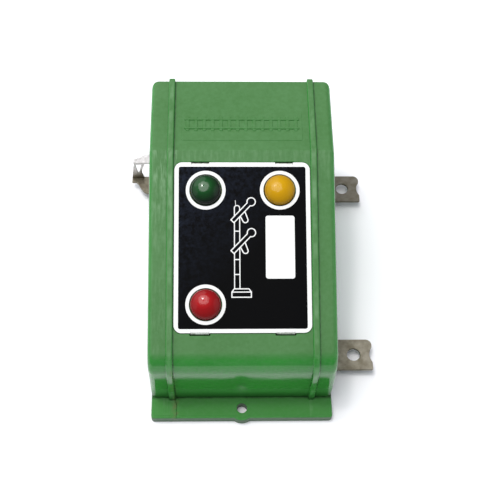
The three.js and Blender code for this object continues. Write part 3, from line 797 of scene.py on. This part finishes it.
def build_label_plate():
    outline = rounded(-PLATE_X, PLATE_X, PLATE_LOW, PLATE_HIGH, PLATE_CORNER)()
    holes = [circle(x, y, 3.85, 64)() for x, y in BUTTONS.values()]
    sheet = prism([outline, *holes], PLATE_BOTTOM, PLATE_TOP)
    ends = [(x, edge, reach) for x in (-TONGUE_X, TONGUE_X) for edge, reach in TONGUE_EDGES]
    half = TONGUE_WIDTH / 2 + 0.03
    notches = []
    for x, edge, reach in ends:
        low, high = sorted((edge - reach, edge + reach))
        notches.append(block(x - half, x + half, low, high, -1, 1))
    cut(sheet, notches)
    join(sheet, [bent_tongue(*end) for end in ends])
    piece(on_panel(sheet), "printed_label_plate", LABEL_WHITE,
          stands_for=["label_plate"], edge=0.05)


def arm_outline(tail, head, width, radius):
    """A signal arm: a bar that ends in a disc, as one closed line."""
    run = Vector(head) - Vector(tail)
    length = run.length
    along = run.normalized()
    side = Vector((-along.y, along.x))
    half = width / 2
    open_angle = math.degrees(math.asin(half / radius))
    local = [(0, half), (0, -half)] + arc(length, 0, radius, open_angle - 180, 180 - open_angle, 20)
    return [tuple(Vector(tail) + along * a + side * b) for a, b in local]


def signal_lines():
    """A two-arm semaphore drawn in outline, as a list of (points, width, closed)."""
    pen = 0.27
    mast_x, half = -1.27, 0.62
    foot_s, top_s = 18.15, 37.2
    left, right = mast_x - half, mast_x + half
    lines = []
    for tail, head in [((-2.35, 34.05), (2.05, 38.7)), ((-2.35, 26.75), (2.08, 31.35))]:
        lines.append((arm_outline(tail, head, 1.0, 0.98), pen, True))
        bowl = arc(tail[0] + 3.02, tail[1] + 0.28, 0.62, -150, 25, 10)
        lamp = [(tail[0] + 1.86, tail[1] + 1.2), *bowl, (tail[0] + 2.95, tail[1] + 2.25)]
        lines.append((lamp, pen, False))
    posts = [(left, foot_s, 26.45), (left, 28.0, 33.75), (right, foot_s, 27.75), (right, 29.25, 35.05)]
    lines += [([(x, low), (x, high)], pen * 0.9, False) for x, low, high in posts]
    dome = arc(mast_x, top_s, half, 180, 0, 14)
    lines.append(([(left, 35.3), *dome, (right, 36.6)], pen * 0.9, False))
    lines.append(([(mast_x - 0.32, 37.75), (mast_x - 0.38, 39.05)], pen * 0.5, False))
    for s in (21.5, 25.0, 31.7):
        lines.append(([(mast_x - half, s), (mast_x + half, s)], pen, False))
    base_x, wide, narrow = -0.27, 2.25, 1.7
    plinth = [(base_x - wide, 16.2), (base_x + wide, 16.2), (base_x + wide, 17.4), (base_x - wide, 17.4)]
    lines.append((plinth, pen, True))
    slope = [(base_x - wide, 17.4), (base_x - narrow, 18.15), (base_x + narrow, 18.15), (base_x + wide, 17.4)]
    lines.append((slope, pen, False))
    return lines


def build_label_print():
    """A black layer on the plate, left open at the rings, the name field and the signal's outline."""
    low, high = PLATE_TOP + 0.002, PLATE_TOP + 0.03
    margin = 1.02
    outline = rounded(-PLATE_X + margin, PLATE_X - margin, PLATE_LOW + 0.92, PLATE_HIGH - 1.06, 0.5)()
    rings = [circle(x, y, RING_RADIUS, 96)() for x, y in BUTTONS.values()]
    field = rounded(5.38, 12.2, 20.5, 35.4, 0.6)()
    ink = prism([outline, *rings, field], low, high)
    cutters = [prism(list(ribbon(points, width, closed)), low - 0.2, high + 0.2)
               for points, width, closed in signal_lines()]
    cut(ink, cutters)
    piece(on_panel(ink), "label_ink", LABEL_BLACK)


# ---- Buttons and contacts ----

def button_profile():
    rim, dome, step = 0.75, 1.45, 0.12
    seat = 3.42
    turns = [math.pi / 2 * i / 16 for i in range(17)]
    crown = [(seat * math.cos(a), rim + dome * math.sin(a)) for a in turns]
    crown[-1] = (0, rim + dome)
    shoulder = BRIDGE_TOP + GAP
    groove = (BOARD_BOTTOM - 1.1, BOARD_BOTTOM)
    tip = BOARD_BOTTOM - 2.2
    return [(0, tip), (1.2, tip), (1.5, tip + 0.3), (1.5, groove[0]), (1.0, groove[0]), (1.0, groove[1]),
            (1.5, groove[1]), (1.5, shoulder), (2.0, shoulder), (2.0, -3.6), (CAP_RADIUS - 0.2, -3.6),
            (CAP_RADIUS, -3.4), (CAP_RADIUS, rim - step - 0.08), (CAP_RADIUS - 0.03, rim - step - 0.02),
            (CAP_RADIUS - 0.08, rim - step), (seat, rim - step)] + crown


def gate_mark():
    """The small round dimple that the mould's gate leaves on the crown."""
    dimple = turned([(0, 2.10), (0.10, 2.12), (0.24, 2.19), (0.32, 2.30), (0, 2.30)], 24)
    return shifted(dimple, -0.45, 0.75, -0.02)


def ring(outer, inner, low, high, steps=64):
    return prism([circle(0, 0, outer, steps)(), circle(0, 0, inner, steps)()], low, high)


def snap_ring():
    opening = 29
    outline = arc(0, 0, 2.6, opening, 360 - opening, 40) + arc(0, 0, 1.3, 360 - opening, opening, 30)
    return prism([outline], BOARD_BOTTOM - GAP - 0.5, BOARD_BOTTOM - GAP)


def contact_post():
    top = BRIDGE_BOTTOM - TRAVEL - GAP
    seat = BOARD_TOP + GAP
    tail = BOARD_BOTTOM - 2 * GAP - 0.4
    turns = [math.pi / 2 * i / 6 for i in range(6)]
    dome = [(0.9 * math.cos(a), top - 0.4 + 0.4 * math.sin(a)) for a in turns]
    profile = [(0, tail - 0.5), (1.0, tail - 0.5), (1.2, tail - 0.3), (1.2, tail), (0.6, tail), (0.6, seat),
               (1.3, seat), (1.3, seat + 0.6), (0.9, seat + 0.6), *dome, (0, top)]
    return turned(profile, 32)


def return_spring():
    """A coil with closed ends, from the board up to the bridge disc."""
    wire, mean = 0.25, 2.2
    low, high = BOARD_TOP + GAP + wire, BRIDGE_BOTTOM - GAP - wire
    turns, closed, steps = 6.0, 0.8, 216
    path = []
    for i in range(steps + 1):
        t = i / steps * turns
        rise = min(max((t - closed) / (turns - 2 * closed), 0), 1)
        creep = 2.1 * wire * (min(t, closed) + max(t - turns + closed, 0)) / closed
        height = low + creep + rise * (high - low - 4.2 * wire)
        angle = t * 2 * math.pi
        path.append(Vector((mean * math.cos(angle), mean * math.sin(angle), height)))
    return tube(path, wire)


def build_button(colour, x, s):
    cap = turned(button_profile(), 72)
    cut(cap, [gate_mark()])
    plastic = button_plastic(f"button_{colour}", (x, s), *BUTTON_COLOURS[colour])
    piece(on_panel(shifted(cap, x, s)), f"{colour}_push_button", plastic,
          body=colour, stands_for=[f"{colour}_button"], angle=30)
    disc = ring(5, 1.8, BRIDGE_BOTTOM, BRIDGE_TOP)
    piece(on_panel(shifted(disc, x, s)), f"{colour}_contact_disc", BRASS,
          body=colour, stands_for=[f"{colour}_bridge_disc"], edge=0.06)
    piece(on_panel(shifted(snap_ring(), x, s)), f"{colour}_snap_ring", STEEL,
          body=colour, stands_for=[f"{colour}_retaining_clip"], edge=0.06)
    for side, offset in (("left", -POST_OFFSET), ("right", POST_OFFSET)):
        piece(on_panel(shifted(contact_post(), x + offset, s)), f"{colour}_post_{side}", BRASS,
              stands_for=[f"{colour}_contact_post_{side}"])
    coil = piece(on_panel(shifted(return_spring(), x, s)), f"{colour}_coil", STEEL,
                 stands_for=[f"{colour}_return_spring"])
    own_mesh(coil)


# ---- Bars, tabs and clip ----

def bar_plan(y):
    """A bus bar from above: the tab's rear corner is round, its front one nearly square, its end notched."""
    wide, narrow, notch = TAB_WIDTH / 2, 2.5, 2.1
    start, flare_start, flare_end = -19.7, 18, 19.5
    front_r, rear_r = 0.4, 1.5
    dip = [(TAB_END - 2.8 * t * (1 - t), y - notch + 2 * notch * t) for t in (i / 10 for i in range(11))]
    return ([(start, y - narrow), (flare_start, y - narrow), (flare_end, y - wide)]
            + arc(TAB_END - front_r, y - wide + front_r, front_r, -90, 0, 6) + dip
            + arc(TAB_END - rear_r, y + wide - rear_r, rear_r, 0, 90, 10)
            + [(flare_end, y + wide), (flare_start, y + narrow), (start, y + narrow)])


def build_bus_bar(end, y):
    low = TAB_BOTTOM + TAB_THICKNESS / 2
    high = low + TAB_THICKNESS + GAP
    line = [(-22, high), (-13.5, high), (-12, low), (22.6, low), (23.3, low - JOGGLE), (40, low - JOGGLE)]
    side = facing_rear(prism([ribbon(line, TAB_THICKNESS)[0]], y - 8, y + 8))
    bar = prism([bar_plan(y)], 0, 8)
    combine(bar, [side], "INTERSECT")
    cut(bar, [stack(circle(TAB_HOLE_X, y, TAB_HOLE_RADIUS), [(0, 0), (0, 8)])])
    piece(bar, f"{end}_bus_bar_plate", NICKEL[end], stands_for=[f"{end}_bus_bar"], edge=0.09)


def build_feed_clip():
    """The formed terminal on the left: a blade in the slot, a web with a window, and a roof over it."""
    p = [Vector(v) for v in ((-24.6, 24.3), (-27, 24.3), (-27.2, 27.9), (-28.4, 27.9))]
    curve = [tuple(p[0] * (1 - t) ** 3 + p[1] * 3 * t * (1 - t) ** 2 + p[2] * 3 * t * t * (1 - t)
                   + p[3] * t ** 3) for t in (i / 14 for i in range(15))]
    plan = [(-15, 24.3), *curve, (-29.3, 27.9), (-29.3, 29.6), (-22.4, 29.6), (-22.4, 28.2), (-15, 28.2)]
    blade = prism([plan], TAB_BOTTOM, TAB_BOTTOM + TAB_THICKNESS)
    window = [(-27.55, 5.7), (-27.25, 5.7), (-26.35, 9.8), (-28.1, 9.6)]
    leg = [(-25.4, 10.4), (-25.75, 9.3), (-26.2, 8.0), (-26.5, 6.6), (-26.5, 5.4), (-26.2, 4.2), (-25.9, 2.9)]
    web = facing_rear(prism([[(-29.3, 2.9), (-28.4, 10.4), *leg], window], 29.1, 29.6))
    swell = [((1 - t) ** 2 * -26.5 + 2 * t * (1 - t) * -25.9 + t * t * -24.4,
              (1 - t) ** 2 * 31.1 + 2 * t * (1 - t) * 32 + t * t * 32) for t in (i / 10 for i in range(11))]
    roof = prism([[(-28.5, 29.2), (-28.6, 30.3), *swell, (-22.5, 32), (-22.5, 29.2)]], 10, 10.5)
    join(blade, [web, roof])
    piece(blade, "feed_terminal", CLIP_NICKEL, stands_for=["feed_clip"], edge=0.07)


def slotted(profile, radius, head, depth):
    """A turned screw with a driver slot across its head, which faces down."""
    half = 0.22
    return cut(turned(profile, 40), [block(-radius - 1, radius + 1, -half, half, head - 0.5, head + depth)])


def build_screws():
    base = [(0, 0.1), (1.3, 0.1), (1.4, 0.18), (0.7, 0.8), (0.7, 6.4), (0, 7.2)]
    turn = 35  # degrees from one screw's slot to the next
    for i, (x, y) in enumerate(BASE_SCREWS, 1):
        screw = moved(slotted(base, 1.4, 0.1, 0.35), Matrix.Rotation(math.radians(turn * i), 4, "Z"))
        piece(shifted(screw, x, y), f"base_screw_{i}_slotted", STEEL, stands_for=[f"base_screw_{i}"])
    head = BOARD_BOTTOM - GAP
    body = [(0, head - 1.3), (1.5, head - 1.25), (1.8, head - 1.0), (1.8, head), (0.8, head), (0.8, -6.6),
            (0, -6)]
    for name, (x, s) in BOARD_SCREWS.items():
        screw = shifted(slotted(body, 1.8, head - 1.3, 0.5), x, s)
        piece(on_panel(screw), f"board_screw_{name}_slotted", STEEL,
              stands_for=[f"board_screw_{name}"])


def finish_cad_node(name, material, edge):
    """Gives a CAD node that already has the right shape its material and soft edges."""
    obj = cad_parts[name]
    obj.data.materials.clear()
    obj.data.materials.append(material)
    smooth_edges(obj, edge, 30)


set_camera()
set_stage()
build_housing()
build_label_plate()
build_label_print()
for colour, (x, s) in BUTTONS.items():
    build_button(colour, x, s)
for end, y in BAR_Y.items():
    build_bus_bar(end, y)
build_feed_clip()
build_screws()
finish_cad_node("base_plate", BASE, 0.15)
finish_cad_node("contact_board", BOARD, 0.08)
for name in ("common_strip", "lead_strip"):
    finish_cad_node(name, BRASS, 0.06)
for name in ("green_output_strip", "yellow_output_strip", "red_output_strip", "return_strip"):
    finish_cad_node(name, NICKEL["rear"], 0.06)
